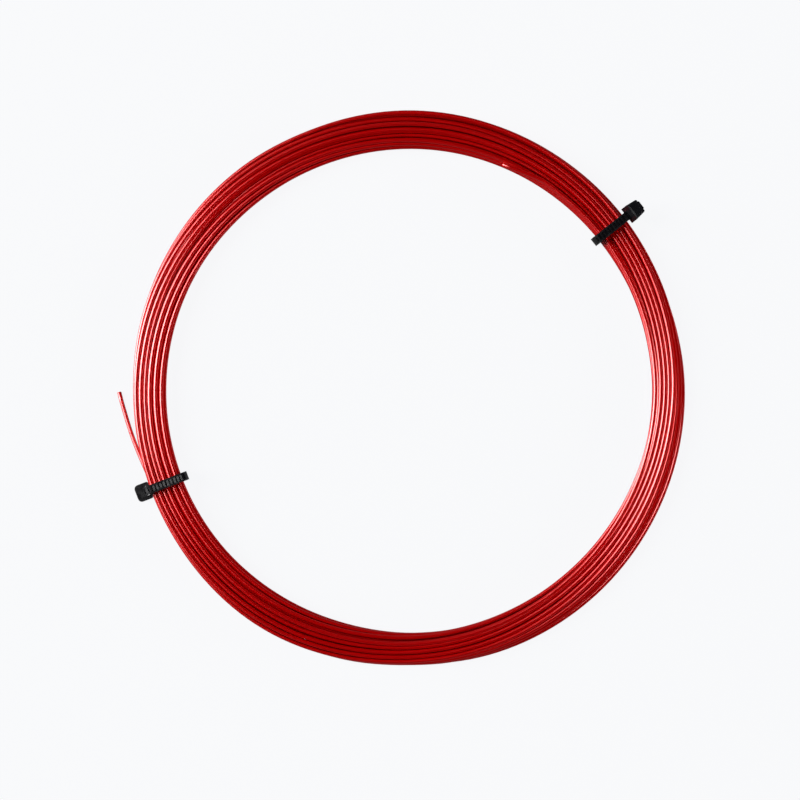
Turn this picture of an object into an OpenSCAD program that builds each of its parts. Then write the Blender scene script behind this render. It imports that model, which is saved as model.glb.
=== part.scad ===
// A hand-wound coil of racket string, held by two nylon cable ties.
// Millimetres, +Z up. The origin is the centre of the ring, on the surface that the coil lies on.

/* [String] */
// Diameter of the string
string_d = 1.25; // [1.15:0.05:1.35]
// Free space between neighbouring turns of one layer
side_gap = 0.46; // [0.43:0.01:0.6]
// Free space between crossing turns of two layers
layer_gap = 0.41; // [0.41:0.01:0.55]

/* [Coil] */
// Mean diameter of the ring that the turns make
ring_d = 155.3; // [145:0.1:170]
// Turns from one side of the bundle to the other, in each layer
layer_turns = 6; // [4:1:6]
// Angle on the ring where the coil starts, at the outer tail
coil_start = 195; // [180:15:195]

/* [Tie straps] */
// Width of a strap
strap_w = 2.6; // [2.2:0.1:3]
// Thickness of a strap
strap_t = 1; // [0.8:0.05:1.2]
// Inside radius of a strap's bends round the bundle
bend_r = 0.6; // [0.4:0.05:0.8]
// Distance from one tooth of the rack to the next
tooth_pitch = 1.1; // [0.9:0.05:1.3]
// Depth of the rack's teeth
tooth_depth = 0.35; // [0.25:0.05:0.4]
// Flat top of each tooth of the rack
tooth_land = 0.2; // [0.15:0.05:0.3]
// Length of the rack, from the strap's cut end
rack_l = 21; // [18:0.5:22]
// Width of the channel that holds the teeth, between two smooth rails
rack_w = 1.6; // [1.2:0.1:1.8]
// Free space between a strap and the turns above and below
tie_clear = 0.15; // [0.1:0.05:0.3]
// How far a tie can slide from the middle of a flat stretch, in degrees
slide_reach = 6; // [3:0.5:7]

/* [Tie heads] */
// Width of a head where the strap goes in
head_w = 5.2; // [4.8:0.1:6]
// Width of a head where the strap comes out
head_exit_w = 4.4; // [4.2:0.1:4.8]
// Length of a head, from the strap's root to the nose
head_l = 4.2; // [4:0.1:5]
// Thickness of a head, along its slot
head_t = 3.9; // [3.6:0.1:4.4]
// Radius of a head's nose corners
nose_r = 1.3; // [0.8:0.1:1.6]
// Size of the corners taken off a head where the strap comes out
exit_corner = 0.5; // [0.3:0.05:0.6]
// Bevel round a head's nose
nose_bevel = 0.35; // [0.2:0.05:0.5]
// Wall between a head's root end and its slot
root_wall = 0.4; // [0.3:0.05:0.6]
// Free space between a strap and its slot, on each face
slot_clear = 0.075; // [0.05:0.005:0.1]

/* [Pawls] */
// Free space between a pawl's teeth and the rail beside the rack, on each side
rail_clear = 0.15; // [0.1:0.05:0.2]
// Thickness of a pawl's bar
pawl_t = 0.7; // [0.5:0.05:0.8]
// Radius of the knuckle that a pawl bends on
knuckle_r = 0.35; // [0.3:0.05:0.4]
// Free space round a pawl's knuckle
knuckle_clear = 0.03; // [0.02:0.01:0.06]
// Wall between a pawl's knuckle and the face where the strap goes in
knuckle_wall = 0.45; // [0.4:0.01:0.6]
// How far the knuckle stands off the pawl's teeth
knuckle_lift = 0.2; // [0.1:0.05:0.3]
// Free space beside a pawl, on each side
pawl_clear = 0.08; // [0.05:0.01:0.12]
// Height that a pawl's chamber has over the knuckle, to lift into
pawl_room = 0.75; // [0.7:0.05:0.9]
// Free space between a pawl's teeth and the strap's teeth
mesh_clear = 0.06; // [0.04:0.01:0.1]
// How far the strap can slip back before its teeth meet the pawl's
back_play = 0.2; // [0.15:0.01:0.3]

/* [Places of the ties] */
// Angle of the upper tie on the ring
upper_angle = 38.5; // [35:0.5:40]
// Tilt of the upper tie's head, from the slot lying level outward
upper_tilt = 25; // [20:1:35]
// Length of cut strap beyond the upper tie's head
upper_stub = 1.8; // [1:0.1:4]
// Angle of the lower tie on the ring
lower_angle = 201.1; // [200:0.1:204]
// Length of cut strap beyond the lower tie's head: it stops inside the slot
lower_stub = -0.15; // [-0.4:0.05:-0.1]

/* [Hidden] */

string_red = [0.74, 0.04, 0.07];
tie_black = [0.07, 0.07, 0.08];
$fn = 48;
eps = 0.01;
// The lower tie's head stands upright on its end, with its slot straight down
lower_tilt = 90;

// ---- The coil: one tube that spirals in, out, in and out again, in four layers ----

loop_rings = 24;
coil_sides = 6;
ring_step = 360 / loop_rings;
last_part_turn = 3 / loop_rings;
half_side = 180 / coil_sides;
flat_w = string_d * cos(half_side);
side_pitch = flat_w + side_gap;
layer_pitch = string_d + layer_gap;
bundle_w = layer_turns * side_pitch + flat_w;
bundle_h = 3 * layer_pitch + string_d;
bundle_z = strap_t + tie_clear;
inner_r = (ring_d - bundle_w) / 2;
outer_r = (ring_d + bundle_w) / 2;
low_r = inner_r + flat_w / 2;
high_r = outer_r - flat_w / 2;
coil_turns = 4 * layer_turns - 1 + last_part_turn;
// Room that the last layer leaves free at the inside edge, for the string's inner end
inner_room = (1 - last_part_turn) * side_pitch;

function ramp(x) = x <= 0 ? 0 : x >= 1 ? 1 : x * x * (3 - 2 * x);
// How far the climb round the reversal after `turns` has come, from 0 to 1, over half a turn
function climb(t, turns) = ramp((t - turns) * 2 + 0.5);
function in_and_out(t) =
    let (phase = t % (2 * layer_turns))
    phase < layer_turns ? high_r - side_pitch * phase : low_r + side_pitch * (phase - layer_turns);
// The last layer moves over in a quarter turn, once it has climbed most of the way
move_start = 0.12;
function move_over(t) = ramp((t - 3 * layer_turns - move_start) * 4);
function coil_r(t) = in_and_out(t) + inner_room * move_over(t);
function coil_level(t) = climb(t, layer_turns) + climb(t, 2 * layer_turns) + climb(t, 3 * layer_turns);
function coil_z(t) = bundle_z + string_d / 2 + layer_pitch * coil_level(t);
function coil_point(t) =
    let (angle = coil_start + 360 * t)
    [coil_r(t) * cos(angle), coil_r(t) * sin(angle), coil_z(t)];

function unit(v) = v / norm(v);
// A ring of points round `centre`, square to `way`, with its first point `first` degrees up from the side
function round_ring(centre, way, sides, first) =
    let (side = unit(cross(way, [0, 0, 1])), up = cross(side, way))
    [for (i = [0:sides - 1])
        let (a = first + 360 * i / sides)
        centre + string_d / 2 * (cos(a) * side + sin(a) * up)];
// A ring of the coil lies in the upright plane through the ring's centre
function coil_ring(t) =
    let (angle = coil_start + 360 * t, out = [cos(angle), sin(angle), 0])
    [for (i = [0:coil_sides - 1])
        let (a = half_side + 360 * i / coil_sides)
        coil_point(t) + string_d / 2 * (cos(a) * out + sin(a) * [0, 0, 1])];

last_ring = round(coil_turns * loop_rings);
start_way = unit(coil_point(1 / loop_rings) - coil_point(0));
end_way = unit(coil_point(last_ring / loop_rings) - coil_point((last_ring - 1) / loop_rings));
// The coil's two end faces, one diameter straight on from its first and last rings
coil_start_face = coil_point(0) - string_d * start_way;
coil_end_face = coil_point(last_ring / loop_rings) + string_d * end_way;
coil_rings = concat(
    [round_ring(coil_start_face, start_way, coil_sides, half_side)],
    [for (i = [0:last_ring]) coil_ring(i / loop_rings)],
    [round_ring(coil_end_face, end_way, coil_sides, half_side)]);

// Least distance between corners of the tube that lie in one plane, one or more turns apart
function ring_gap(a, b) = min([for (p = a) for (q = b) norm(p - q)]);
near = 2 * layer_pitch;
coil_gap = min([
    for (i = [0:last_ring - loop_rings]) for (j = [i + loop_rings:loop_rings:last_ring])
        if (norm(coil_point(i / loop_rings) - coil_point(j / loop_rings)) < near)
            ring_gap(coil_ring(i / loop_rings), coil_ring(j / loop_rings))]);

// Joins rings of points into one closed tube of triangles
module tube(rings) {
    n = len(rings[0]);
    last = len(rings) - 1;
    sides = [for (r = [0:last - 1]) for (i = [0:n - 1])
        let (a = r * n + i, b = r * n + (i + 1) % n)
        each [[a, b, a + n], [b, b + n, a + n]]];
    start_cap = [for (i = [1:n - 2]) [0, i + 1, i]];
    end_cap = [for (i = [1:n - 2]) [last * n, last * n + i, last * n + i + 1]];
    polyhedron([for (ring = rings) each ring], concat(sides, start_cap, end_cap));
}

module string_coil() {
    echo(least_gap_of_the_coil_to_itself = coil_gap);
    echo(coil_turns = coil_turns, bundle_width = bundle_w, bundle_height = bundle_h);
    color(string_red) tube(coil_rings);
}

// ---- The free stretches: tubes along chosen points ----

stretch_sides = 8;
stretch_ring_gap = 3 * string_d;
coil_end = coil_start + 360 * last_part_turn;

// Outer tail: degrees before the coil's start, distance out from the outermost turn's middle,
// and height above the surface, from the cut end to the coil
tail_route = [[14.6, 4.3, 0.7], [12.2, 3.3, 0.8], [9.8, 2.6, 0.9],
              [7.3, 1.9, 1.1], [4.7, 1.3, 1.4], [2.8, 0.7, 1.6]];
// Inner end: degrees past the coil's end, distance out from the innermost turn's middle, and height
// above the top turns' middle. It crosses the top of the bundle, then lies along its inside edge
inner_route = [[10, 9.1, 0.4], [16, 8.4, 1.4], [23, 7, 1.7], [31, 5.3, 1.7], [40, 3.5, 1.7],
               [50, 1.8, 1.7], [59, 0.5, 1.7], [67, -0.1, 1.2], [75, -0.2, 0.5], [83, -0.2, 0.1],
               [92, -0.2, 0], [105, -0.2, 0], [120, -0.2, 0], [135, -0.2, 0], [150, -0.2, 0],
               [165, -0.2, 0], [172, -0.3, 0], [177, -0.1, 0], [182, -0.4, 0], [187.5, -0.5, -0.1]];

function on_ring(angle, r, z) = [r * cos(angle), r * sin(angle), z];
// A point between b and c on a smooth curve through a, b, c and d
function between(a, b, c, d, x) =
    0.5 * (2 * b + (c - a) * x + (2 * a - 5 * b + 4 * c - d) * x * x + (3 * b - a - 3 * c + d) * x * x * x);
function smooth_line(points) =
    let (n = len(points))
    concat([for (i = [0:n - 2])
        let (a = points[max(i - 1, 0)], b = points[i], c = points[i + 1], d = points[min(i + 2, n - 1)],
             steps = max(1, round(norm(c - b) / stretch_ring_gap)))
        for (k = [0:steps - 1]) between(a, b, c, d, k / steps)],
        [points[n - 1]]);
// Rings along a line; its first and last ways are given
function line_rings(line, first_way, last_way) =
    let (n = len(line))
    [for (i = [0:n - 1])
        let (way = i == 0 ? first_way : i == n - 1 ? last_way : unit(line[i + 1] - line[i - 1]))
        round_ring(line[i], way, stretch_sides, 180 / stretch_sides)];

module string_outer_tail() {
    run = coil_start_face - string_d * start_way;
    points = [for (p = tail_route) on_ring(coil_start - p[0], high_r + p[1], p[2])];
    line = smooth_line(concat(points, [run, coil_start_face]));
    color(string_red) tube(line_rings(line, unit(line[1] - line[0]), start_way));
}

module string_inner_end() {
    run = coil_end_face + string_d * end_way;
    top_turns_z = bundle_z + bundle_h - string_d / 2;
    points = [for (p = inner_route) on_ring(coil_end + p[0], low_r + p[1], top_turns_z + p[2])];
    line = smooth_line(concat([coil_end_face, run], points));
    n = len(line);
    color(string_red) tube(line_rings(line, end_way, unit(line[n - 1] - line[n - 2])));
}

// ---- The ties: drawn in the upright plane of the bundle's cross-section, x outward and z up ----

// The turns are straight between their rings, so the bundle is nearest the centre halfway
inside_u = inner_r * cos(ring_step / 2) - tie_clear;
outside_u = outer_r * cos(ring_step / 2) / cos(slide_reach) + tie_clear;
bottom_z = strap_t / 2;
top_z = bundle_z + bundle_h + tie_clear + strap_t / 2;
corner_r = bend_r + strap_t / 2;
// The bends where the strap turns into its slot, and where it leaves a tilted head's root
entry_r = 1.5;
root_r = 2.5;
// Straight strap between the bend and the slot
entry_run = 0.3;

slot_h = strap_t + 2 * slot_clear;
slot_mid = root_wall + slot_h / 2;
slot_w = strap_w + 2 * slot_clear;

// A pose is [x, z, heading]. ahead() goes straight on, and bend() turns right in small steps
function ahead(pose, way) = [pose[0] + way * cos(pose[2]), pose[1] + way * sin(pose[2]), pose[2]];
function bend(pose, r, angle) =
    let (steps = ceil(angle / 15), h = pose[2])
    [for (i = [1:1:steps])
        let (g = h - angle * i / steps)
        [pose[0] + r * (sin(h) - sin(g)), pose[1] - r * (cos(h) - cos(g)), g]];
function last_of(list) = list[len(list) - 1];

// Where a head's root corner lies, on the side where the strap goes in. An upright head stands on the
// surface, and a tilted one hangs just under the strap's top run
function head_foot(tilt) =
    tilt == 90 ? [outside_u, head_t]
    : [outside_u, top_z - entry_r * (1 - cos(tilt)) - entry_run * sin(tilt) - slot_mid * cos(tilt)];
// A place in a head: `along` the slot from its mouth, and `up` from the root end to the nose
function in_head(tilt, along, up) =
    head_foot(tilt) + [along * cos(tilt) + up * sin(tilt), up * cos(tilt) - along * sin(tilt)];

// The strap's middle line, from its root on the head, round the bundle and through the slot
function strap_line(tilt, stub) =
    let (root = in_head(tilt, head_t - strap_t / 2, 0),
         from_head = [root[0], root[1], 270 - tilt],
         drop = root[1] - bottom_z - root_r * (1 - sin(tilt)),
         run_down = tilt == 90 ? 0 : drop / cos(tilt),
         a = ahead(from_head, run_down),
         floor_bend = bend(a, root_r, 90 - tilt),
         b = last_of(concat([a], floor_bend)),
         c = ahead(b, b[0] - (inside_u - strap_t / 2 + corner_r)),
         inner_bend = bend(c, corner_r, 90),
         d = last_of(inner_bend),
         e = ahead(d, top_z - corner_r - d[1]),
         top_bend = bend(e, corner_r, 90),
         f = last_of(top_bend),
         mouth = in_head(tilt, 0, slot_mid),
         run_in = (top_z - entry_r * (1 - cos(tilt)) - mouth[1]) / sin(tilt),
         g = ahead(f, mouth[0] - run_in * cos(tilt) - entry_r * sin(tilt) - f[0]),
         entry_bend = bend(g, entry_r, tilt),
         h = last_of(entry_bend),
         end = ahead(h, run_in + head_t + stub))
    concat([from_head], floor_bend, [c], inner_bend, [e], top_bend, [g], entry_bend, [end]);

// A point beside a pose, to its left, which is the strap's outer face
function beside(pose, way) = [pose[0] - way * sin(pose[2]), pose[1] + way * cos(pose[2])];
function stretch(line, i) = norm([line[i + 1][0] - line[i][0], line[i + 1][1] - line[i][1]]);
// The pose at a distance back from the end of a line
function back_from_end(line, way, i) =
    let (seg = stretch(line, i))
    way <= seg || i == 0
        ? [each [line[i + 1][0], line[i + 1][1]] - way / seg
            * [line[i + 1][0] - line[i][0], line[i + 1][1] - line[i][1]], line[i + 1][2]]
        : back_from_end(line, way - seg, i - 1);

// Stands a profile drawn in x and z upright, `w` wide to both sides
module upright(w) {
    rotate([90, 0, 0]) linear_extrude(height = w, center = true) children();
}

// The space between two teeth: a long ramp, then a steep face that the pawl stops against
ramp_l = tooth_pitch - tooth_land;
module tooth_gap() {
    upright(rack_w) polygon([[-ramp_l, 0], [0, -tooth_depth], [0, 2 * eps], [-ramp_l, 2 * eps]]);
}

module strap(tilt, stub) {
    line = strap_line(tilt, stub);
    outer = [for (pose = line) beside(pose, strap_t / 2)];
    inner = [for (i = [len(line) - 1:-1:0]) beside(line[i], -strap_t / 2)];
    // A steep face of the rack stands just past the pawl's tip, and the first is whole pitches nearer the end
    first_gap = (head_t + stub - pawl_end - back_play) % tooth_pitch;
    difference() {
        upright(strap_w) polygon(concat(outer, inner));
        for (way = [first_gap:tooth_pitch:rack_l]) {
            pose = back_from_end(line, way, len(line) - 2);
            spot = beside(pose, strap_t / 2);
            translate([spot[0], 0, spot[1]]) rotate([0, -pose[2], 0]) tooth_gap();
        }
    }
}

// Puts what is drawn in a head's own axes, x along the slot and z from the root to the nose, in place
module at_head(tilt) {
    foot = head_foot(tilt);
    translate([foot[0], 0, foot[1]]) rotate([0, tilt, 0]) children();
}

// Places in a head, x along the slot from its mouth and z from the root end to the nose
rack_face = root_wall + slot_clear + strap_t;
knuckle_x = knuckle_wall + knuckle_r + knuckle_clear;
knuckle_z = rack_face + mesh_clear + knuckle_lift + knuckle_r;
chamber_top = knuckle_z + knuckle_r + pawl_room;
pawl_w = rack_w - 2 * rail_clear;
chamber_w = pawl_w + 2 * pawl_clear;
// The pawl's bar, from beside its knuckle to its last tooth
pawl_teeth = 2;
pawl_start = knuckle_x + knuckle_clear;
pawl_end = pawl_start + pawl_teeth * tooth_pitch - tooth_land;

module head_body() {
    intersection() {
        // Seen along the slot: round at the nose
        rotate([90, 0, 90]) linear_extrude(height = head_t) {
            translate([-head_w / 2, 0]) square([head_w, head_l - nose_r]);
            translate([-head_w / 2 + nose_r, 0]) square([head_w - 2 * nose_r, head_l]);
            for (side = [-1, 1])
                translate([side * (head_w / 2 - nose_r), head_l - nose_r]) circle(r = nose_r);
        }
        // Seen from the nose: narrower where the strap comes out, with its corners taken off
        linear_extrude(height = head_l)
            polygon([[0, -head_w / 2], [head_t - exit_corner, -head_exit_w / 2],
                     [head_t, exit_corner - head_exit_w / 2], [head_t, head_exit_w / 2 - exit_corner],
                     [head_t - exit_corner, head_exit_w / 2], [0, head_w / 2]]);
        // Seen from the side: the nose's edges are bevelled
        upright(2 * head_w)
            polygon([[0, 0], [head_t, 0], [head_t, head_l - 2 * nose_bevel], [head_t - nose_bevel, head_l],
                     [nose_bevel, head_l], [0, head_l - nose_bevel]]);
    }
}

module head(tilt) {
    at_head(tilt) difference() {
        head_body();
        translate([-head_t / 2, -slot_w / 2, root_wall]) cube([2 * head_t, slot_w, slot_h]);
        // The pawl's chamber is open to the slot and to the side where the strap comes out
        translate([knuckle_x, -chamber_w / 2, root_wall + slot_h / 2])
            cube([head_t, chamber_w, chamber_top - root_wall - slot_h / 2]);
        translate([knuckle_x, 0, knuckle_z]) rotate([90, 0, 0])
            cylinder(r = knuckle_r + knuckle_clear, h = chamber_w, center = true);
    }
}

// A bar that hangs from its knuckle, with teeth that fit the rack's
module pawl(tilt) {
    bar_low = rack_face + mesh_clear;
    // The teeth are the rack's own, less the play behind them
    tooth_l = ramp_l - back_play;
    tooth_h = tooth_depth * tooth_l / ramp_l;
    at_head(tilt) upright(pawl_w) {
        translate([knuckle_x, knuckle_z]) circle(r = knuckle_r);
        polygon([[knuckle_x, knuckle_z + knuckle_r], [knuckle_x, knuckle_z - knuckle_r],
                 [pawl_start, bar_low], [pawl_end, bar_low], [pawl_end, bar_low + pawl_t]]);
        for (i = [0:pawl_teeth - 1]) translate([pawl_end - i * tooth_pitch, bar_low])
            polygon([[-tooth_l, eps], [-tooth_l, 0], [0, -tooth_h], [0, eps]]);
    }
}

module at_tie(angle) {
    color(tie_black) rotate([0, 0, angle]) children();
}

module upper_tie_strap() at_tie(upper_angle) strap(upper_tilt, upper_stub);
module upper_tie_head() at_tie(upper_angle) head(upper_tilt);
module upper_tie_pawl() at_tie(upper_angle) pawl(upper_tilt);
module lower_tie_strap() at_tie(lower_angle) strap(lower_tilt, lower_stub);
module lower_tie_head() at_tie(lower_angle) head(lower_tilt);
module lower_tie_pawl() at_tie(lower_angle) pawl(lower_tilt);

string_coil();
string_outer_tail();
string_inner_end();
upper_tie_strap();
upper_tie_head();
upper_tie_pawl();
lower_tie_strap();
lower_tie_head();
lower_tie_pawl();
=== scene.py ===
# %% [markdown]
# # A coil of racket string held by two cable ties
# One set of racket string is 12 m of thin red monofilament. It is wound by hand into a loose ring of
# almost 25 turns, and two small black cable ties keep the turns together. The ties come from the packed
# model as they are. The string is made here as one unbroken strand, because every turn shows and no two
# turns lie alike.

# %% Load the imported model
import math

import bpy
import numpy as np
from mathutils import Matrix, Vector


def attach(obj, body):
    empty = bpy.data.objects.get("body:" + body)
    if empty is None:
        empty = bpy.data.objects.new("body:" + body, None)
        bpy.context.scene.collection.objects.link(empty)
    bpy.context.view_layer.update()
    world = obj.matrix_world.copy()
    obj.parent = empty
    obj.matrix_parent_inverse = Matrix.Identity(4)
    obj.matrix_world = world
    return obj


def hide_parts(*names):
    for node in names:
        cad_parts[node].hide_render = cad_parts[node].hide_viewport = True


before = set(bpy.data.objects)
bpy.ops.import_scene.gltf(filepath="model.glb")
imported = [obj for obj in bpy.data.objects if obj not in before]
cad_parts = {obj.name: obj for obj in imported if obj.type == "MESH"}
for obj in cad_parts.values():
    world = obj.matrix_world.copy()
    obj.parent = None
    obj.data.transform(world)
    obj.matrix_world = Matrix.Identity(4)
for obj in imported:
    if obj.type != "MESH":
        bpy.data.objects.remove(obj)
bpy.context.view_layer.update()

MM = 0.001

# %% [markdown]
# ## Camera
# The ring is seen from straight above. A long lens far away keeps its circle round and its sides parallel.
# The width of the picture on the table fixes the distance: lens / sensor = distance / width.

# %% Place the camera
LENS, SENSOR = 100.0, 36.0                # millimetres on the camera
PICTURE_WIDTH = 238.2 * MM                # what the picture spans at the middle of the bundle's height
BUNDLE_MIDDLE = 4.5 * MM
LOOK_AT = Vector((-2.5 * MM, -3.0 * MM, BUNDLE_MIDDLE))
CAMERA_HEIGHT = BUNDLE_MIDDLE + PICTURE_WIDTH * LENS / SENSOR

camera_data = bpy.data.cameras.new("camera")
camera_data.lens = LENS
camera_data.sensor_width = SENSOR
camera_data.clip_start = 0.01
camera = bpy.data.objects.new("camera", camera_data)
bpy.context.scene.collection.objects.link(camera)
camera.location = (LOOK_AT.x, LOOK_AT.y, CAMERA_HEIGHT)
camera.rotation_euler = (0, 0, 0)         # straight down, +Y up in the picture
bpy.context.scene.camera = camera
bpy.context.scene.view_settings.view_transform = "Standard"
print("camera height, mm:", round(CAMERA_HEIGHT / MM, 1))

# %% [markdown]
# ## The string: facts before shape
# The string is 12.0 m long and 1.25 mm thick, and 24.69 turns lie between its two cut ends. It is stiff, so
# it can't wiggle: each turn wanders sideways only slowly, slips between its neighbours and climbs over
# them. The string is described by its distance from the ring's centre and its height, at places three
# degrees apart. Every place has the same angle as one place of every other turn, so that a cut through the
# ring is a flat picture of 25 discs at most.

# %% Name the string's sizes
STRING_D = 1.25 * MM
TURNS = 24.686                            # between the two cut ends
PLACES = 120                              # places per turn
STEP = 360.0 / PLACES
TIP_ANGLE = 180.4                         # where the free outer tip lies
COIL_START, COIL_END = 195.0, 240.0       # where the wound part starts and ends
COIL_TURNS = 24                           # whole turns of the wound part
LOW_R, HIGH_R = 73.022 * MM, 82.278 * MM  # innermost and outermost turn of the wound part
BOTTOM_TURN_Z, TOP_TURN_Z = 1.775 * MM, 6.755 * MM
UPPER_TIE, LOWER_TIE = 38.5, 201.1        # the ties' angles

place_count = math.ceil(TURNS * PLACES) + 1
place = np.arange(place_count)
travel = TIP_ANGLE + place * STEP         # the angle, counted on over all turns
angle = np.mod(travel, 360.0)
turn = (travel - COIL_START) / 360.0
print("places along the string:", place_count)

# %% [markdown]
# ## The two free stretches
# The outer tail leaves the bundle at the lower tie and points away from it. The inner end comes over the
# top of the bundle and lies on its inside edge. Their points are those of the model, in metres.

# %% Repeat the routes of the free stretches
# degrees before the coil's start, distance out from the outermost turn, height above the surface
TAIL_ROUTE = [(14.6, 0.0043, 0.0007), (12.2, 0.0033, 0.0008), (9.8, 0.0026, 0.0009),
              (7.3, 0.0019, 0.0011), (4.7, 0.0013, 0.0014), (2.8, 0.0007, 0.0016)]
# degrees past the coil's end, distance out from the innermost turn, height above the top turns' middle
INNER_ROUTE = [(10, 0.0091, 0.0004), (16, 0.0084, 0.0014), (23, 0.007, 0.0017), (31, 0.0053, 0.0017),
               (40, 0.0035, 0.0017), (50, 0.0018, 0.0017), (59, 0.0005, 0.0017), (67, -0.0001, 0.0012),
               (75, -0.0002, 0.0005), (83, -0.0002, 0.0001), (92, -0.0002, 0), (105, -0.0002, 0),
               (120, -0.0002, 0), (135, -0.0002, 0), (150, -0.0002, 0), (165, -0.0002, 0),
               (172, -0.0003, 0), (177, -0.0001, 0), (182, -0.0004, 0), (187.5, -0.0005, -0.0001)]

tail_points = [(COIL_START - before, HIGH_R + out, high) for before, out, high in TAIL_ROUTE]
tail_points.append((COIL_START, HIGH_R, BOTTOM_TURN_Z))
inner_start = COIL_END + 360 * COIL_TURNS
inner_points = [(inner_start, HIGH_R, TOP_TURN_Z)]
inner_points += [(inner_start + past, LOW_R + out, TOP_TURN_Z + high) for past, out, high in INNER_ROUTE]
print("points on the tail and the inner end:", len(tail_points), len(inner_points))

# %% [markdown]
# ## The bundle's edges
# The ring isn't an even band. Its inner and outer edges are set at a few angles, and a smooth closed curve
# joins them.

# %% Write a closed curve and a bell
def closed_curve(keys, angles):
    """A smooth curve through (angle, value) keys that closes on itself."""
    at = np.array([key[0] for key in keys], float)
    value = np.array([key[1] for key in keys], float)
    at = np.concatenate([at[-2:] - 360, at, at[:2] + 360])
    value = np.concatenate([value[-2:], value, value[:2]])
    slope = np.gradient(value, at)
    left = np.searchsorted(at, angles, side="right") - 1
    width = at[left + 1] - at[left]
    u = (angles - at[left]) / width
    return ((2 * u**3 - 3 * u**2 + 1) * value[left] + (u**3 - 2 * u**2 + u) * width * slope[left]
            + (3 * u**2 - 2 * u**3) * value[left + 1] + (u**3 - u**2) * width * slope[left + 1])


def near(angles, centre, reach):
    """1 at the centre, falling smoothly to 0 at the reach."""
    away = np.abs((angles - centre + 180) % 360 - 180)
    return np.where(away < reach, 0.5 + 0.5 * np.cos(np.pi * np.minimum(away, reach) / reach), 0.0)


print("half way down the bell:", round(float(near(15.0, 0.0, 30.0)), 2))

# %% Draw the bundle's edges
# angle on the ring, distance from the ring's centre in millimetres
INNER_EDGE = [(0, 72.8), (10, 72.6), (25, 72.5), (50, 72.2), (80, 72.0), (120, 71.7), (150, 72.1),
              (180, 72.2), (210, 72.4), (240, 72.1), (255, 72.1), (270, 72.5), (310, 72.1), (330, 72.3),
              (348, 72.7)]
OUTER_EDGE = [(0, 82.5), (20, 82.0), (50, 82.7), (90, 83.4), (110, 82.9), (130, 83.1), (155, 82.8),
              (180, 82.1), (210, 82.6), (238, 83.4), (255, 82.9), (270, 82.3), (290, 82.9), (312, 83.0),
              (335, 82.8)]

inner_edge = closed_curve(INNER_EDGE, angle) * MM
outer_edge = closed_curve(OUTER_EDGE, angle) * MM
print("bundle width, mm:", round((outer_edge - inner_edge).min() / MM, 1), "to",
      round((outer_edge - inner_edge).max() / MM, 1))

# %% [markdown]
# ## How the turns are stacked
# A cut through the bundle is a ring of 17 strands round a core of 8. The ring has a top row, an outer side,
# a bottom row and an inner side, so its middle line is a rectangle with round corners. A strand moves on by
# one slot of the ring in each turn. Winding by hand also rolls the whole bundle to one side and back again
# as it goes round, by more than four slots. That roll is what makes the strands cross the band at a slant.

# %% Set the roll and the height of the bundle
RING_SLOTS = 17
# angle on the ring, roll of the bundle in slots, from the inside edge over the top to the outside edge
ROLL = [(0, -1.42), (10, -1.15), (20, -0.66), (38, 0.2), (55, 0.64), (80, 0.45), (100, 0.5), (120, 0.87),
        (150, 1.6), (180, 2.4), (200, 2.62), (225, 2.25), (255, 1.22), (285, -0.1), (315, -1.45),
        (335, -1.92), (348, -1.75)]
# angle on the ring, how much the top leans outward
LEAN = [(0, 0.5), (30, 0.25), (70, 0.05), (110, 0.0), (150, -0.1), (190, -0.05), (225, 0.0), (265, 0.1),
        (300, 0.42), (330, 0.54)]
TIE_REACH = 45.0                          # degrees over which a tie lifts the bundle
TIE_LEVEL = 1.06                          # over 1 keeps it level over the stretch on which a tie slides
LEAN_LOST = 0.8                           # share of the lean that a tie takes away
LOW_FLOOR, TIE_FLOOR = 0.35 * MM, 1.02 * MM
HEIGHT, TIE_HEIGHT = 5.0 * MM, 6.2 * MM   # the bundle's height between the ties and in them
CORNER = 1.1 * MM
DOME = 0.28                               # how much lower the sides of the top lie, of half the height

tie_lift = np.maximum(near(angle, UPPER_TIE, TIE_REACH), near(angle, LOWER_TIE, TIE_REACH))
tie_lift = np.minimum(TIE_LEVEL * tie_lift, 1)
floor_height = LOW_FLOOR + tie_lift * (TIE_FLOOR - LOW_FLOOR)
height = HEIGHT + tie_lift * (TIE_HEIGHT - HEIGHT)
half_width = (outer_edge - inner_edge - STRING_D) / 2
half_height = (height - STRING_D) / 2
middle_r = (inner_edge + outer_edge) / 2
middle_z = floor_height + height / 2
roll = closed_curve(ROLL, angle)
lean = closed_curve(LEAN, angle) * (1 - LEAN_LOST * tie_lift**2)
bulge = DOME * (1 - tie_lift**2)
print("roll, slots:", round(roll.min(), 2), "to", round(roll.max(), 2))

# %% Write the shape of a cut
def eased(x, start, stop):
    """0 before the start, 1 after the stop, and a smooth way between."""
    u = np.clip((x - start) / (stop - start), 0, 1)
    return u * u * (3 - 2 * u)


def on_rectangle(share, half_width, half_height, corner):
    """A place on a rectangle with round corners; share runs from the top's middle, outward and round."""
    flat = half_width - corner
    upright = half_height - corner
    arc = 0.5 * math.pi * corner
    quarter = flat + upright + arc
    way = np.mod(share, 1.0) * 4 * quarter
    number = np.floor(way / quarter)
    odd = number % 2 == 1
    way = way - number * quarter
    way = np.where(odd, quarter - way, way)
    turned = np.clip((way - flat) / corner, 0, 0.5 * math.pi)
    x = np.minimum(way, flat) + corner * np.sin(turned)
    z = upright + corner * np.cos(turned) - np.maximum(way - flat - arc, 0)
    return np.where(number < 2, x, -x), np.where((number == 0) | (number == 3), z, -z)


def domed(x, z):
    """Raise the middle of the section's upper half, lower its sides and lean it to one side."""
    across = np.clip(x / half_width, -1, 1)
    return np.where(z > 0, z * (1 + bulge / 3 - bulge * across**2 - lean * across), z)


print("top's middle, mm:", [round(float(side[0]) / MM, 2) for side in
                            on_rectangle(0.0, half_width, half_height, CORNER)])

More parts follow.
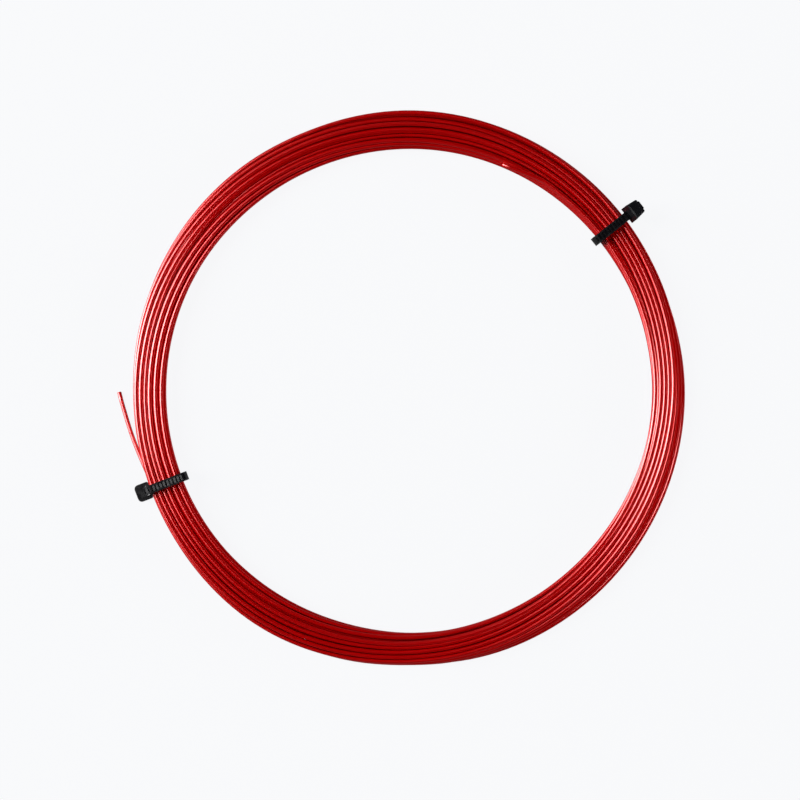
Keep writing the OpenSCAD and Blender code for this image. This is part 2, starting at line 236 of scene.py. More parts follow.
# %% [markdown]
# ## The string's way through the stack
# The first turn lies in the ring, low on the outer side where the tail comes in. The next eight fill the
# core, and the rest go once round the ring: outward over the top, down, inward along the bottom and up,
# until the last turn ends on top at the inside edge. A path that steps to a slot close by in each turn
# keeps the strand free of sharp bends.

# %% Give every turn its slot in the ring
FIRST_SLOT = 2.48                         # slot of the first turn, before the roll
RING_LAG = 9.52                           # turns by which the slots lag once the ring has closed up
INTO_CORE = (0.62, 0.98)                  # turns over which the string leaves the ring for the core
OUT_OF_CORE = (8.75, 8.91)                # turns over which it comes back
SLOT_FREED = (12.68, 12.98)               # turns over which the ring closes up behind the first turn
TOP_ROW = 1.0 * MM                        # how far the top row reaches down

slot = turn - RING_LAG - 1 + eased(turn, *SLOT_FREED) + roll
slot = np.where(turn < INTO_CORE[1], turn + FIRST_SLOT + roll, slot)
ring_x, ring_z = on_rectangle(slot / RING_SLOTS, half_width, half_height, CORNER)
in_upper_row = ring_z > half_height - TOP_ROW
print("places in the ring's top row:", in_upper_row.sum())

# %% Lead the early turns through the core
CORE_SLOTS = 8
CORE_ORDER = np.array([1.5, 2.5, 3.5, 0.5, 4.5, 5.5, 6.5, 7.5])    # the slot of each core turn
CORE_ROLL = 0.47                          # the core's roll for each slot of the ring's
CORE_MIDDLE = 0.5                         # the ring's roll at which the core isn't rolled
CORE_INSET = 1.3 * MM
CORE_ROUND = 0.95                         # the core's corners, as a share of half its height
LEAST_CORE = (1.5 * MM, 0.55 * MM)        # half its width and half its height

core_width = np.maximum(half_width - CORE_INSET, LEAST_CORE[0])
core_height = np.maximum(half_height - CORE_INSET, LEAST_CORE[1])


def in_core(order):
    """The place of a core slot at every angle."""
    core_slot = CORE_ORDER[order] + CORE_ROLL * (roll - CORE_MIDDLE)
    core_x, core_z = on_rectangle(core_slot / CORE_SLOTS, core_width, core_height, CORE_ROUND * core_height)
    return core_x, domed(core_x, core_z)


core_turn = np.clip(turn, 1, CORE_SLOTS) - 1
here = np.minimum(core_turn.astype(int), CORE_SLOTS - 2)
onward = 0.5 * (core_turn - here) + 0.5 * eased(core_turn - here, 0, 1)
here_x, here_z = in_core(here)
next_x, next_z = in_core(here + 1)
in_the_core = eased(turn, *INTO_CORE) * (1 - eased(turn, *OUT_OF_CORE))
x = ring_x + in_the_core * (here_x + onward * (next_x - here_x) - ring_x)
ring_z = domed(ring_x, ring_z)
z = ring_z + in_the_core * (here_z + onward * (next_z - here_z) - ring_z)
print("turns in the core:", round(in_the_core.sum() / PLACES, 2))

# %% [markdown]
# ## Openings in the top row
# The top row isn't evenly spaced. In a few stretches two neighbouring strands lie apart and show the dark
# inside of the bundle. Where a strand has gone down into the core, its two neighbours close up instead.

# %% Open the top row
# from angle, to angle, the turn on the inner side of the opening, width (below 0: the strands close up)
OPENINGS = [(278, 354, 12, 1.15 * MM), (274, 345, 10, 0.6 * MM), (58, 112, 11, 0.5 * MM),
            (98, 126, 9, 0.6 * MM), (48, 122, 7.5, -1.0 * MM)]
OPENING_REACH = 1.3                       # slots beside an opening over which its strands close up again
OPENING_TAPER = 1.2                       # over 1 gives an opening longer, thinner ends

part_of_turn = np.mod((angle - COIL_START) / 360.0, 1.0)
from_top = np.mod(slot + RING_SLOTS / 2, RING_SLOTS) - RING_SLOTS / 2
in_top_row = in_upper_row * (1 - in_the_core)
for start, stop, below, width in OPENINGS:
    opening = below + 0.5 + part_of_turn - RING_LAG - 1 + roll
    along = np.clip(np.mod(angle - start, 360) / (stop - start), 0, 1)
    open_here = np.sin(math.pi * along)**OPENING_TAPER
    away = from_top - opening
    shove = 0.5 * width * open_here * np.exp(-np.clip(np.abs(away) - 0.5, 0, None) / OPENING_REACH)
    x = x + np.sign(away) * shove * in_top_row
print("openings:", len(OPENINGS))

# %% [markdown]
# ## Slow noise
# No hand lays every strand alike. Random values 108 degrees apart, joined into a slow wave, move each
# strand a little. The seed is fixed, so that the coil is the same every time.

# %% Add slow noise and write down the plan
WANDER, WANDER_Z = 0.3 * MM, 0.25 * MM
WANDER_STEP = 36                          # places between two random values
SEED = 8

random = np.random.default_rng(SEED)
knots = random.normal(0, 1, (place_count // WANDER_STEP + 4, 2))
kernel = np.hanning(WANDER_STEP + 1)


def slow_noise(values):
    """Random values joined into a slow wave."""
    rough = np.interp(place, np.arange(len(values)) * WANDER_STEP, values)
    return np.convolve(np.pad(rough, WANDER_STEP // 2, "edge"), kernel / kernel.sum(), "valid")


wish = np.stack([middle_r + x + WANDER * slow_noise(knots[:, 0]),
                 middle_z + z + WANDER_Z * slow_noise(knots[:, 1])], axis=1)
print("random values:", knots.size)

# %% [markdown]
# ## A turn that strays
# One turn lies across the others: it stays at the outside edge for longer, then crosses the band at a steep
# slant and on top of its neighbours, and a wide dark slit stays open behind it. Beside it a few turns ride
# higher or sink lower than the rest.

# %% Lay the stray turn and lift a few others
STRAY_TURN = 12
# angle on the ring, distance from the ring's centre
STRAY = [(258, 81.3 * MM), (275, 81.4 * MM), (285, 80.4 * MM), (300, 78.9 * MM), (310, 77.9 * MM),
         (320, 77.1 * MM), (330, 76.8 * MM), (350, 77.2 * MM), (372, 77.6 * MM)]
STRAY_LIFT = 0.5 * MM
# from angle, to angle (counted on from 180 degrees, where a turn starts), turn, lift
LIFTS = [(300, 385, 10, -0.35 * MM), (295, 370, 0, -0.4 * MM), (290, 365, 13, -0.3 * MM),
         (472, 510, 10, 0.35 * MM), (500, 565, 9, 0.3 * MM), (510, 575, 11, -0.3 * MM),
         (210, 300, 9, -0.25 * MM), (400, 460, 11, -0.2 * MM)]
STRETCH_RISE = 1.6                        # over 1 makes a stretch reach its full effect sooner


def along_stretch(number, start, stop):
    """0 outside a stretch of one turn, 1 in its middle."""
    u = (travel - 360 * number - start) / (stop - start)
    swell = np.minimum(1, STRETCH_RISE * np.sin(math.pi * np.clip(u, 0, 1)))
    return np.where((u > 0) & (u < 1), swell, 0)


stray_at, stray_r = np.array(STRAY).T
stray = along_stretch(STRAY_TURN, stray_at[0], stray_at[-1])
stray_wish = np.interp(travel - 360 * STRAY_TURN, stray_at, stray_r)
wish[:, 0] += stray * (stray_wish - wish[:, 0])
wish[:, 1] += stray * STRAY_LIFT
for start, stop, number, lift in LIFTS:
    wish[:, 1] += lift * along_stretch(number, start, stop)
print("stray turn, degrees:", stray_at[-1] - stray_at[0])

# %% [markdown]
# ## The ends join the bundle
# The tail keeps its own route and slips into its slot just behind the lower tie. The inner end starts in
# the bundle, follows its route along the inside edge, settles into the top row, passes under the upper
# tie, and bends out again to its tip.

# %% Lead the two ends in
TAIL_JOINS = (COIL_START - 1.0, COIL_START + 6.0)
INNER_JOINS = (22.0, 55.0)                # degrees past the coil's end, where it takes up its route
INNER_SETTLES = (95.0, 142.0)             # where it sinks into the top row
INNER_BENDS_OUT = (174.5, 183.0)          # where it leaves the row for its tip
OVER_THE_TOP = 1.1 * MM                   # how far its middle lies above the top row's at most
ROUTE_SINKS = 0.2 * MM


def follow(hold, at, out, high):
    """Draw the plan towards a route, as far as it holds."""
    wish[:, 0] += hold * (np.interp(travel, at, out) - wish[:, 0])
    wish[:, 1] += hold * (high - wish[:, 1])


tail_hold = 1 - eased(travel, *TAIL_JOINS)
tail_at, tail_out, tail_high = np.array(tail_points).T
follow(tail_hold, tail_at, tail_out, np.interp(travel, tail_at, tail_high))

past = travel - inner_start
inner_hold = np.where(past > 0, eased(past, *INNER_JOINS) * (1 - eased(past, *INNER_SETTLES))
                      + eased(past, *INNER_BENDS_OUT), 0)
inner_at, inner_out, inner_high = np.array(inner_points).T
inner_z = np.minimum(np.interp(travel, inner_at, inner_high) - ROUTE_SINKS,
                     middle_z + half_height + OVER_THE_TOP)
follow(inner_hold, inner_at, inner_out, inner_z)
print("inner end, degrees on its route:", round(inner_hold.sum() * STEP))

# %% [markdown]
# ## Letting the turns settle
# The slots are a plan, and real strands can't overlap. A short relaxation mends that. It pulls each place
# to its plan, straightens the string like the stiff filament it is, and pushes apart any two discs of a cut
# that overlap. First come the limits: the bundle's edges, the surface, and the insides of the ties' loops
# over the whole stretch on which they slide. The two ends are held to their routes.

# %% Set the limits of every place
LOOP_RANGES = [(33.0, 43.0), (196.3, 207.5)]    # degrees that the ties' loops bind as they slide
LOOP_INSIDE, LOOP_OUTSIDE, LOOP_TOP = 71.825 * MM, 82.595 * MM, 7.45 * MM
EDGE_OVERLAP = 0.35 * MM                  # how far the inner end may lie over the inner edge
TIP_STARTS = 1.5                          # degrees after the inner end bends out
TIP_HELD = 0.6                            # how firmly the inner tip keeps to its route
BARELY = 0.02                             # a hold below this is none
FREE = 1.0                                # a limit so far away that it is none

radius = STRING_D / 2
tip = past > INNER_BENDS_OUT[0] + TIP_STARTS
on_tail = tail_hold > BARELY
in_loop = np.any([(angle > low) & (angle < high) for low, high in LOOP_RANGES], axis=0)
lowest_r = np.where(in_loop, np.maximum(inner_edge, LOOP_INSIDE), inner_edge) + radius
lowest_r = np.where(inner_hold > 0.5, inner_edge + radius - EDGE_OVERLAP, lowest_r)
lowest_r = np.where(tip, 0.0, lowest_r)
highest_r = np.where(in_loop, np.minimum(outer_edge, LOOP_OUTSIDE), outer_edge) - radius
highest_r = np.where(on_tail & ~in_loop, FREE, highest_r)
lowest_z = np.where(on_tail, 0.0, floor_height) + radius
highest_z = np.where(in_loop, LOOP_TOP - radius, FREE)
held = np.clip(tail_hold * (travel < COIL_START + 1) + TIP_HELD * tip, 0, 1)
loose = (tail_hold < BARELY) & (inner_hold < BARELY)
print("places inside the loops:", in_loop.sum())

# %% [markdown]
# ## Pushing strands apart
# At each of the 120 cuts the turns are discs in a flat picture. Two discs that are closer than the string
# is thick move apart by the same amount. The last turn isn't whole, and places far off stand in for what
# it lacks.

# %% Write the push
PUSH = 0.75                               # share of an overlap that one push takes away
CLEARANCE = 1.004                         # the least distance of two discs, in string diameters
TINY = 1e-12                              # keeps a length from being 0

full_turns = math.ceil(place_count / PLACES)
missing = full_turns * PLACES - place_count
far_off = np.ones((missing, 2)) + np.arange(missing)[:, None]
first, second = np.triu_indices(full_turns, 1)


def gaps_between(points):
    """For each pair of turns at each cut: the way from one disc to the other, and its length."""
    cuts = np.vstack([points, far_off]).reshape(full_turns, PLACES, 2)
    between = cuts[first] - cuts[second]
    return cuts, between, np.sqrt((between**2).sum(-1)) + TINY


def push_apart(points):
    """Move overlapping discs of each cut away from each other."""
    cuts, between, distance = gaps_between(points)
    overlap = np.clip(STRING_D * CLEARANCE - distance, 0, None)
    push = (0.5 * PUSH * overlap / distance)[..., None] * between
    moved = np.zeros_like(cuts)
    np.add.at(moved, first, push)
    np.add.at(moved, second, -push)
    return (cuts + moved).reshape(-1, 2)[:place_count]


print("pairs of turns:", len(first))

# %% [markdown]
# ## Keeping the outline and closing slits
# The pushing alone would round the bundle off. So each cut is widened now and then until its outermost and
# innermost discs touch the bundle's edges. Seen from above, the table must not show between two strands, so
# discs that leave too wide a step are drawn together.

# %% Write the two corrections
MOST_SLIT = 0.9 * STRING_D                # widest step between discs of a cut, seen from above
EDGE_BLUR = 4                             # places on each side over which an edge is evened out


def by_turns(values):
    """One row for each turn, with nothing where a place isn't loose or is missing."""
    padded = np.concatenate([np.where(loose, values, np.nan), np.full(missing, np.nan)])
    return padded.reshape(full_turns, PLACES)


def reach_edges(points):
    """Widen each cut so that its outermost and innermost discs touch the bundle's edges."""
    cuts = by_turns(points[:, 0])
    low, high = np.nanmin(cuts, axis=0) - radius, np.nanmax(cuts, axis=0) + radius
    around = np.hanning(2 * EDGE_BLUR + 3)[1:-1]
    low, high = (np.convolve(np.concatenate([side[-EDGE_BLUR:], side, side[:EDGE_BLUR]]),
                             around / around.sum(), "valid")[place % PLACES] for side in (low, high))
    fitted = inner_edge + (points[:, 0] - low) * (outer_edge - inner_edge) / (high - low)
    points[:, 0] += np.where(loose, fitted - points[:, 0], 0)


def cover_gaps(points):
    """Draw together discs that leave a slit through a whole cut."""
    out = by_turns(points[:, 0] / (1 - points[:, 1] / CAMERA_HEIGHT))
    order = np.argsort(out, axis=0)
    slit = np.nan_to_num(np.diff(np.take_along_axis(out, order, axis=0), axis=0)) - MOST_SLIT
    slit = 0.5 * np.clip(slit, 0, None)
    shift = np.zeros_like(out)
    shift[:-1] += slit
    shift[1:] -= slit
    moved = np.zeros_like(out)
    np.put_along_axis(moved, order, shift, axis=0)
    points[:, 0] += moved.reshape(-1)[:place_count]


print("loose places:", loose.sum())

# %% [markdown]
# ## The relaxation itself
# Three times on the way the whole line is smoothed, so that no strand keeps a kink from the pushing. At the
# end the pull to the plan weakens, and mostly the pushing is left.

# %% Relax the string
ROUNDS = 300
LAST_PART = 0.8                           # share of the rounds after which the pull weakens
PULL, LAST_PULL, HELD_PULL = 0.05, 0.0075, 0.3
SINK = 0.004 * MM                         # how far each round lets a place sink
STIFF, STIFF_FAR = 0.3, 0.04
FAR = (3, 6)                              # places, for the wider straightening
PUSHES, LAST_PUSHES = 2, 4
EDGE_EVERY = 15                           # rounds between two fits to the edges
SMOOTH_ROUNDS, SMOOTH_WIDTH, SMOOTH_REACH = (150, 195, 240), 2.5, 9

smooth_kernel = np.exp(-0.5 * (np.arange(-SMOOTH_REACH, SMOOTH_REACH + 1) / SMOOTH_WIDTH)**2)
smooth_kernel /= smooth_kernel.sum()
points = wish.copy()
for round_number in range(ROUNDS):
    closing = round_number > LAST_PART * ROUNDS
    pull = LAST_PULL if closing else PULL
    points += (pull * (1 - held) + HELD_PULL * held)[:, None] * (wish - points)
    points[:, 1] -= SINK * (1 - held)
    points[1:-1] += STIFF * (0.5 * (points[:-2] + points[2:]) - points[1:-1])
    for reach in FAR:
        straight = 0.5 * (points[:-2 * reach] + points[2 * reach:])
        ease = STIFF_FAR * (1 - held[reach:-reach])[:, None]
        points[reach:-reach] += ease * (straight - points[reach:-reach])
    cover_gaps(points)
    for _ in range(LAST_PUSHES if closing else PUSHES):
        points = push_apart(points)
        points[:, 0] = np.clip(points[:, 0], lowest_r, highest_r)
        points[:, 1] = np.clip(points[:, 1], lowest_z, highest_z)
    if round_number % EDGE_EVERY == EDGE_EVERY - 1:
        reach_edges(points)
    if round_number in SMOOTH_ROUNDS:
        smoothed = np.stack([np.convolve(np.pad(points[:, i], SMOOTH_REACH, "edge"), smooth_kernel, "valid")
                             for i in (0, 1)], axis=1)
        points += (1 - held)[:, None] * (smoothed - points)

closest = gaps_between(points)[2].min()
print("closest turns, mm:", round(closest / MM, 3), "highest, mm:", round(points[:, 1].max() / MM, 2))

# %% [markdown]
# ## The strand's middle line
# The settled places are three degrees apart. A curve that passes through all of them gives the line on
# which the strand is swept, and it ends exactly at the two cut ends.

# %% Draw the middle line
RING_STEP = 2.0                           # degrees between the rings of the tube


def centre_line():
    """Points of the string's middle, about every two degrees."""
    at = TIP_ANGLE + np.linspace(0, 360 * TURNS, int(round(360 * TURNS / RING_STEP)) + 1)
    left = np.clip(((at - travel[0]) / STEP).astype(int), 0, place_count - 2)
    u = ((at - travel[left]) / STEP)[:, None]
    before = points[np.maximum(left - 1, 0)]
    here, there = points[left], points[left + 1]
    after = points[np.minimum(left + 2, place_count - 1)]
    smooth = 0.5 * (2 * here + (there - before) * u + (2 * before - 5 * here + 4 * there - after) * u**2
                    + (3 * here - before - 3 * there + after) * u**3)
    turned = np.radians(at)
    return np.stack([smooth[:, 0] * np.cos(turned), smooth[:, 0] * np.sin(turned), smooth[:, 1]], axis=1)


line = centre_line()
measured = np.linalg.norm(np.diff(line, axis=0), axis=1).sum()
print("string, m:", round(measured, 3), "rings:", len(line))

# %% [markdown]
# ## The strand as a mesh
# A tube is swept along the line. Each ring stands square to the string, its first point always looks up,
# and the UV map runs along the length, which the drawn streaks of the filament need. The cut ends get a
# small bevel. A curve object with a round bevel could do the same, but gives no such map and no bevelled
# ends.

# %% Write the sweep
SIDES = 16
END_BEVEL = 0.12 * MM


def ring_points(line):
    """The rings of a tube along a line, and the length at each of them."""
    ahead = np.gradient(line, axis=0)
    ahead /= np.linalg.norm(ahead, axis=1)[:, None]
    side = np.cross(ahead, (0, 0, 1))
    side /= np.linalg.norm(side, axis=1)[:, None]
    up = np.cross(side, ahead)
    line = np.concatenate([line[:1], line[:1] + ahead[:1] * END_BEVEL, line[1:-1],
                           line[-1:] - ahead[-1:] * END_BEVEL, line[-1:]])
    size = np.concatenate([[radius - END_BEVEL], np.full(len(side), radius), [radius - END_BEVEL]])
    side = np.concatenate([side[:1], side, side[-1:]])
    up = np.concatenate([up[:1], up, up[-1:]])
    around = np.linspace(0, 2 * math.pi, SIDES, endpoint=False)
    ring = (np.sin(around)[None, :, None] * side[:, None, :]
            + np.cos(around)[None, :, None] * up[:, None, :])
    along = np.concatenate([[0], np.cumsum(np.linalg.norm(np.diff(line, axis=0), axis=1))])
    return line[:, None, :] + ring * size[:, None, None], along


def sweep(line, name):
    """A closed tube along a line, with bevelled cut ends and a UV map along it."""
    rings, along = ring_points(line)
    faces, coordinates = [], []
    for i in range(len(rings) - 1):
        for j in range(SIDES):
            k = (j + 1) % SIDES
            faces.append((i * SIDES + j, i * SIDES + k, (i + 1) * SIDES + k, (i + 1) * SIDES + j))
            coordinates += [(along[i], j / SIDES), (along[i], (j + 1) / SIDES),
                            (along[i + 1], (j + 1) / SIDES), (along[i + 1], j / SIDES)]
    faces.append(tuple(reversed(range(SIDES))))
    faces.append(tuple((len(rings) - 1) * SIDES + j for j in range(SIDES)))
    coordinates += [(0.0, j / SIDES) for j in reversed(range(SIDES))]
    coordinates += [(along[-1], j / SIDES) for j in range(SIDES)]
    mesh = bpy.data.meshes.new(name)
    mesh.from_pydata(rings.reshape(-1, 3).tolist(), [], faces)
    uv = mesh.uv_layers.new(name="along")
    uv.data.foreach_set("uv", np.array(coordinates, dtype=np.float32).ravel())
    mesh.polygons.foreach_set("use_smooth", [True] * (len(faces) - 2) + [False] * 2)
    mesh.update()
    obj = bpy.data.objects.new(name, mesh)
    bpy.context.scene.collection.objects.link(obj)
    return obj


print("sides of the tube:", SIDES)

# %% Make the string
string = sweep(line, "racket_string")
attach(string, "string")
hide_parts("string_coil", "string_outer_tail", "string_inner_end")
print("faces of the string:", len(string.data.polygons))

# %% [markdown]
# ## Shared shader groups
# Two effects appear on both plastics. The finish is never evenly smooth, and the surface has a fine grain.
# Each is a node group that is given the place on the surface, a size, and a range or a strength, so that
# the string can stretch it along its length and the ties can use it as it is.

# %% Write the helpers for groups and nodes
def new_group(name, inputs, output):
    """A shader group that takes a place and some numbers, and puts out one number."""
    group = bpy.data.node_groups.new(name, "ShaderNodeTree")
    group.interface.new_socket(name="Place", in_out="INPUT", socket_type="NodeSocketVector")
    for socket, value in inputs.items():
        made = group.interface.new_socket(name=socket, in_out="INPUT", socket_type="NodeSocketFloat")
        made.default_value = value
    group.interface.new_socket(name=output, in_out="OUTPUT", socket_type="NodeSocketFloat")
    return group, group.nodes.new("NodeGroupInput"), group.nodes.new("NodeGroupOutput")


def add_node(tree, kind, **values):
    """A shader node with some of its inputs set; an underscore in a name stands for a space."""
    node = tree.nodes.new("ShaderNode" + kind)
    for socket, value in values.items():
        node.inputs[socket.replace("_", " ")].default_value = value
    return node


def scaled(tree, source, factor):
    """A number times a constant or another socket."""
    times = add_node(tree, "Math")
    times.operation = "MULTIPLY"
    tree.links.new(source, times.inputs[0])
    if isinstance(factor, float):
        times.inputs[1].default_value = factor
    else:
        tree.links.new(factor, times.inputs[1])
    return times.outputs[0]


print("groups so far:", len(bpy.data.node_groups))

# %% Build the two groups
uneven, given, result = new_group("uneven_finish", {"Size": 1.0, "Least": 0.3, "Most": 0.5}, "Value")
cloud = add_node(uneven, "TexNoise", Detail=3.0)
spread = add_node(uneven, "MapRange", From_Min=0.3, From_Max=0.7)
uneven.links.new(given.outputs["Place"], cloud.inputs["Vector"])
uneven.links.new(given.outputs["Size"], cloud.inputs["Scale"])
uneven.links.new(cloud.outputs["Fac"], spread.inputs["Value"])
uneven.links.new(given.outputs["Least"], spread.inputs["To Min"])
uneven.links.new(given.outputs["Most"], spread.inputs["To Max"])
uneven.links.new(spread.outputs["Result"], result.inputs["Value"])

grain, given, result = new_group("fine_grain", {"Size": 2500.0, "Strength": 0.2}, "Height")
fine = add_node(grain, "TexNoise", Detail=4.0)
grain.links.new(given.outputs["Place"], fine.inputs["Vector"])
grain.links.new(given.outputs["Size"], fine.inputs["Scale"])
grain.links.new(scaled(grain, fine.outputs["Fac"], given.outputs["Strength"]), result.inputs["Height"])
print("groups:", uneven.name, grain.name)

# %% [markdown]
# ## The red filament
# Polyester string is clear red plastic: light enters it, turns red and comes out all over. One way is a
# refracting material, which is slow and grainy on so thin a strand. A metal-like red lobe, blended with
# plain red, gives the same wide coloured shine at once. The roughness varies in streaks along the length,
# where the filament was drawn through its die.

# %% Make the filament
def new_material(name, **values):
    """A material with one Principled BSDF, and the values of some of its inputs."""
    material = bpy.data.materials.new(name)
    material.use_nodes = True
    shader = material.node_tree.nodes["Principled BSDF"]
    for socket, value in values.items():
        shader.inputs[socket.replace("_", " ")].default_value = value
    return material, material.node_tree, shader


def place_group(tree, group, where, **values):
    """One use of a shared group, with this material's own values."""
    node = add_node(tree, "Group")
    node.node_tree = group
    tree.links.new(where, node.inputs["Place"])
    for socket, value in values.items():
        node.inputs[socket].default_value = value
    return node


def add_grain(tree, shader, node, distance):
    """Let a grain group raise the surface."""
    bump = add_node(tree, "Bump", Distance=distance)
    tree.links.new(node.outputs["Height"], bump.inputs["Height"])
    tree.links.new(bump.outputs["Normal"], shader.inputs["Normal"])


string_plastic, tree, shader = new_material("red_monofilament", Metallic=0.7, Specular_IOR_Level=0.0)
uv_node = add_node(tree, "UVMap")
uv_node.uv_map = "along"
stretch = add_node(tree, "Mapping", Scale=(60.0, 9.0, 1.0))    # in a metre along it, and once round it
tree.links.new(uv_node.outputs["UV"], stretch.inputs["Vector"])
streaks = place_group(tree, uneven, stretch.outputs["Vector"], Size=1.0, Least=0.37, Most=0.46)
tree.links.new(streaks.outputs["Value"], shader.inputs["Roughness"])
drawn = place_group(tree, grain, stretch.outputs["Vector"], Size=6.0, Strength=0.25)
add_grain(tree, shader, drawn, 0.01 * MM)
print("filament:", string_plastic.name)

# %% [markdown]
# ## Painted shade between the strands
# Between two strands the light has passed through so much red that hardly any is left, and this shade is
# painted into the colour. The ambient occlusion node measures how closed in a place is, and the base colour
# goes from open red to a painted shade of deep red.

# %% Paint shade into the red where strands lie close
# painted shade: the base colour turns deep red where strands close in; it is not the string's own colour
PAINTED_SHADE_RED, OPEN_RED = (0.09, 0.0, 0.0, 1), (0.67, 0.0004, 0.001, 1)

depth = add_node(tree, "AmbientOcclusion", Distance=1.8 * MM)
depth.samples = 12
painted_shade_amount = add_node(tree, "MapRange", From_Min=0.16, From_Max=0.56)
# mixes the painted shade into the base colour
painted_shade_mix = add_node(tree, "Mix")
painted_shade_mix.data_type = "RGBA"
painted_shade_mix.inputs["A"].default_value = PAINTED_SHADE_RED
painted_shade_mix.inputs["B"].default_value = OPEN_RED
tree.links.new(depth.outputs["AO"], painted_shade_amount.inputs["Value"])
tree.links.new(painted_shade_amount.outputs["Result"], painted_shade_mix.inputs["Factor"])
tree.links.new(painted_shade_mix.outputs["Result"], shader.inputs["Base Color"])
print("open red:", OPEN_RED[:3])

# %% [markdown]
# ## Gloss and red shadows
# A thin white gloss over the red gives the highlights. It is a lobe of its own with the same share at every
# angle, because a coat's mirror-like rim would draw pale lines along both sides of so thin a strand. Strands
# also pass a part of the light on to the strands below, so a shadow ray goes through with a red tint.

# %% Add the gloss and the red shadow rays
GLOSS_SHARE = 0.11
PASSED_ON = 0.7                           # share of the light that a strand lets through

sheen = add_node(tree, "BsdfGlossy", Color=(1, 1, 1, 1), Roughness=0.38)
sheen.distribution = "BECKMANN"           # fades out sooner round the highlight
glossy = add_node(tree, "MixShader", Fac=GLOSS_SHARE)
light_path = add_node(tree, "LightPath")
red_light = add_node(tree, "BsdfTransparent", Color=(1, 0, 0, 1))
through = add_node(tree, "MixShader")
tree.links.new(shader.outputs["BSDF"], glossy.inputs[1])
tree.links.new(sheen.outputs["BSDF"], glossy.inputs[2])
tree.links.new(scaled(tree, light_path.outputs["Is Shadow Ray"], PASSED_ON), through.inputs["Fac"])
tree.links.new(glossy.outputs["Shader"], through.inputs[1])
tree.links.new(red_light.outputs["BSDF"], through.inputs[2])
tree.links.new(through.outputs["Shader"], tree.nodes["Material Output"].inputs["Surface"])
string.data.materials.append(string_plastic)
print("light passed on, share:", PASSED_ON)

# %% [markdown]
# ## The black nylon
# Cable ties are moulded from black nylon. It is satin: dark in itself, with grey glints on the edges and on
# the ladder of the strap. Where fingers and the bundle rub it, it is a little smoother.

# %% Make the nylon
tie_plastic, tree, shader = new_material("black_nylon", Base_Color=(0.004, 0.004, 0.005, 1),
                                         Specular_IOR_Level=0.42)
surface = add_node(tree, "TexCoord").outputs["Object"]
rubbed = place_group(tree, uneven, surface, Size=700.0, Least=0.22, Most=0.46)
tree.links.new(rubbed.outputs["Value"], shader.inputs["Roughness"])
moulded = place_group(tree, grain, surface, Size=2200.0, Strength=0.6)
add_grain(tree, shader, moulded, 0.04 * MM)
print("nylon:", tie_plastic.name)

# %% [markdown]
# ## The ties' edges
# A mould never gives a knife edge. A bevel modifier rounds every sharp edge by less than a tenth of a
# millimetre, which is what catches the light. The meshes themselves stay those of the model.

# %% Finish the ties
EDGE_ROUND = 0.08 * MM

for side_name in ("upper", "lower"):
    for part_name in ("strap", "head", "pawl"):
        tie_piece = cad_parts[f"{side_name}_tie_{part_name}"]
        tie_piece.data.materials.clear()
        tie_piece.data.materials.append(tie_plastic)
        edge = tie_piece.modifiers.new("rounded_edges", "BEVEL")
        edge.width = EDGE_ROUND
        edge.segments = 2
        edge.limit_method = "ANGLE"
print("edges rounded, mm:", EDGE_ROUND / MM)

# %% [markdown]
# ## The table
# The table is almost white and lit so evenly that it has no shadow. It glows of itself: at full strength
# for the camera, a little weaker where it lights the strands from below, and only faintly where the gloss
# mirrors it, so that the red stays deep.

# %% Lay the table
SEEN, LIGHTING, MIRRORED = 0.967, 0.85, 0.1
TABLE_R = 6.0
TABLE_TOP = -0.0001                       # just clear of the straps' undersides

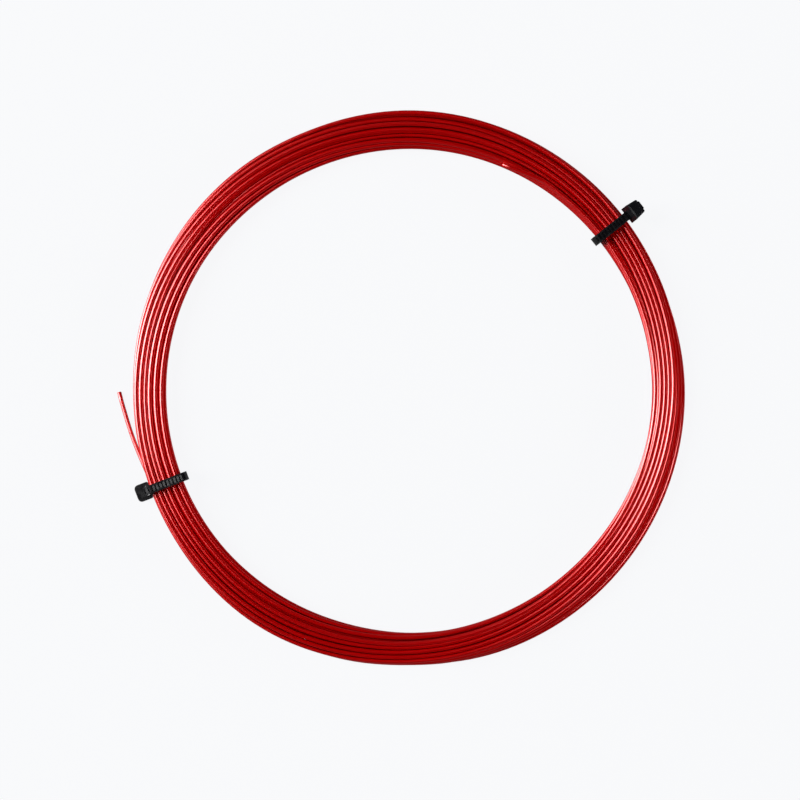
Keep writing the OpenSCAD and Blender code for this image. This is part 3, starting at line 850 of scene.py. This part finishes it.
bpy.ops.mesh.primitive_circle_add(vertices=96, radius=TABLE_R, fill_type="NGON",
                                  location=(0, 0, TABLE_TOP))
table = bpy.context.object
table.name = "table"
table_material, tree, shader = new_material("pale_table", Base_Color=(0.03, 0.03, 0.03, 1), Roughness=1.0,
                                            Specular_IOR_Level=0.0,
                                            Emission_Color=(0.938, 0.945, 0.96, 1))
rays = add_node(tree, "LightPath")
lit = add_node(tree, "MapRange", To_Min=MIRRORED, To_Max=LIGHTING)
glow = add_node(tree, "MapRange", To_Max=SEEN)
tree.links.new(rays.outputs["Is Diffuse Ray"], lit.inputs["Value"])
tree.links.new(lit.outputs["Result"], glow.inputs["To Min"])
tree.links.new(rays.outputs["Is Camera Ray"], glow.inputs["Value"])
tree.links.new(glow.outputs["Result"], shader.inputs["Emission Strength"])
table.data.materials.append(table_material)
print("table:", table.name)

# %% [markdown]
# ## The room
# The room is dark overhead, because the camera looks down from there and strands that mirror it stay deep
# red. Only a weak band of light lies round the horizon.

# %% Make the room
HORIZON = 0.12

world = bpy.data.worlds.new("studio")
world.use_nodes = True
sky = world.node_tree
direction = add_node(sky, "TexCoord")
parts = add_node(sky, "SeparateXYZ")
horizon = add_node(sky, "MapRange", From_Min=0.02, From_Max=0.3, To_Min=HORIZON, To_Max=0.0)
horizon.interpolation_type = "SMOOTHSTEP"
sky.links.new(direction.outputs["Generated"], parts.inputs["Vector"])
sky.links.new(parts.outputs["Z"], horizon.inputs["Value"])
sky.links.new(horizon.outputs["Result"], sky.nodes["Background"].inputs["Strength"])
sky.nodes["Background"].inputs["Color"].default_value = (0.95, 0.96, 1.0, 1)
bpy.context.scene.world = world
print("world:", world.name)

# %% [markdown]
# ## The lights
# A strand mirrors a lamp only where it runs across the light. So one tall softbox, low on the left, lets the
# filament shine at the left and the right of the ring and leaves it deep red at the top and the bottom. A
# wide weak panel on the right brightens the shadow side. It is hidden from the gloss, which would show a
# second row of highlights.

# %% Set the lights
def soft_light(name, size, energy, azimuth, elevation, distance):
    """A rectangular area light that looks at the ring's centre."""
    data = bpy.data.lights.new(name, "AREA")
    data.shape = "RECTANGLE"
    data.size, data.size_y = size
    data.energy = energy
    light = bpy.data.objects.new(name, data)
    bpy.context.scene.collection.objects.link(light)
    turned, raised = math.radians(azimuth), math.radians(elevation)
    light.location = distance * Vector((math.cos(turned) * math.cos(raised),
                                        math.sin(turned) * math.cos(raised), math.sin(raised)))
    light.rotation_euler = (-light.location).to_track_quat("-Z", "Y").to_euler()
    return light


key = soft_light("left_softbox", size=(1.1, 2.2), energy=97.0, azimuth=171, elevation=29, distance=2.0)
fill = soft_light("right_fill", size=(3.0, 0.9), energy=105.0, azimuth=-8, elevation=8, distance=2.0)
fill.visible_glossy = False
print("lights:", key.name, fill.name)
